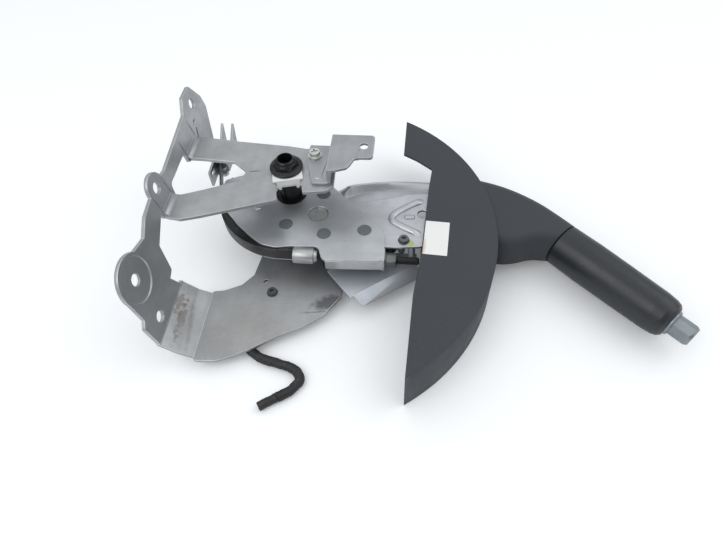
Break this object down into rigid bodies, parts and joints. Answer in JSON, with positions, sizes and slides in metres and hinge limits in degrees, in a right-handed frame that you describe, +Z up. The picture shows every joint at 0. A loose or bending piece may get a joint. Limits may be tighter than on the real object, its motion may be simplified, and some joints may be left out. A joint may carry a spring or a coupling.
{
  "type": "parking brake lever",
  "caption": "Parking brake lever lying on its side: stamped bracket, pressed lever with strap sector and shield, grip with release button, pawl, ratchet and cable equalizer",
  "frame": {"origin": "on the lever's pivot axis, level with the top face of the bracket's upper cheek, inside the hollow pivot tube", "axes": "+Z up along the pivot axis, +X from the mounting flange towards the grip, +Y the way the brake cables leave"},
  "size_m": [0.4091, 0.276, 0.1033],
  "materials": {
    "bracket_steel": "satin phosphated sheet steel, light handling marks",
    "black_steel": "black oxide, semi gloss",
    "nylon": "white nylon",
    "zinc": "bright zinc plate",
    "dark_steel": "dark phosphated steel",
    "sector_steel": "light grey satin steel",
    "lever_steel": "bright zinc plated pressing",
    "shield_plastic": "dark slate moulded plastic",
    "neck_plastic": "dark slate moulded plastic, fine grain",
    "grip_rubber": "smooth charcoal grip",
    "button_metal": "satin silver",
    "lead_tape": "black tape wrapped lead",
    "switch_plastic": "black moulded plastic",
    "label_paper": "blank white label"
  },
  "bodies": {
    "bracket": {"mounting_bracket": "bracket_steel", "pivot_tube": "black_steel", "pivot_bush": "nylon", "pivot_nut": "black_steel", "tab_bracket": "bracket_steel", "tab_screw": "zinc", "ratchet_sector": "dark_steel", "ratchet_rivet_near": "dark_steel", "ratchet_rivet_far": "dark_steel", "switch_body": "switch_plastic", "switch_screw": "dark_steel", "switch_lead": "lead_tape", "switch_lead_end": "lead_tape"},
    "lever": {"lever_arm": "lever_steel", "lever_skirt_far": "lever_steel", "lever_skirt_near": "lever_steel", "lever_lower_plate": "lever_steel", "lever_hub": "lever_steel", "sector_plate": "sector_steel", "sector_rim": "dark_steel", "sector_rivet_1": "dark_steel", "sector_rivet_2": "dark_steel", "sector_rivet_3": "dark_steel", "sector_rivet_4": "dark_steel", "sector_stud": "zinc", "sector_pin": "zinc", "strap": "zinc", "ferrule": "zinc", "adjuster_rod": "black_steel", "adjuster_washer": "zinc", "adjuster_nut": "dark_steel", "arm_screw": "dark_steel", "pawl_pin": "zinc", "neck_box": "lever_steel", "handle_tube": "lever_steel", "neck_sleeve": "neck_plastic", "grip": "grip_rubber", "button_collar": "button_metal", "console_shield": "shield_plastic", "label": "label_paper"},
    "button": {"release_button": "button_metal", "release_rod": "zinc"},
    "pawl": {"pawl": "dark_steel"},
    "yoke": {"equalizer_pin": "zinc"},
    "equalizer": {"equalizer": "bracket_steel"}
  },
  "joints": [
    {"name": "lever_swing", "type": "hinge", "parent": "bracket", "child": "lever", "pos_m": [0, 0, 0], "axis": [0, 0, 1], "range_deg": [0, 30], "deforming": ["strap"]},
    {"name": "button_press", "type": "slide", "parent": "lever", "child": "button", "axis": [-0.7169, 0.6972, 0], "range_m": [0, 0.005], "stiffness_N_per_m": 1200, "springref_m": -0.003},
    {"name": "pawl_lift", "type": "hinge", "parent": "lever", "child": "pawl", "pos_m": [0.076, -0.044, 0], "axis": [0, 0, 1], "range_deg": [0, 13.1]},
    {"name": "equalizer_pull", "type": "slide", "parent": "bracket", "child": "yoke", "axis": [0.2588, -0.9659, 0], "range_m": [0, 0.032]},
    {"name": "equalizer_rock", "type": "hinge", "parent": "yoke", "child": "equalizer", "pos_m": [-0.07445, 0.04217, 0], "axis": [0, 0, 1], "range_deg": [-6, 6]}
  ],
  "couplings": [
    {"joint": "pawl_lift", "follows": "button_press", "rad_per_m": 45.455},
    {"joint": "equalizer_pull", "follows": "lever_swing", "m_per_rad": 0.061}
  ]
}
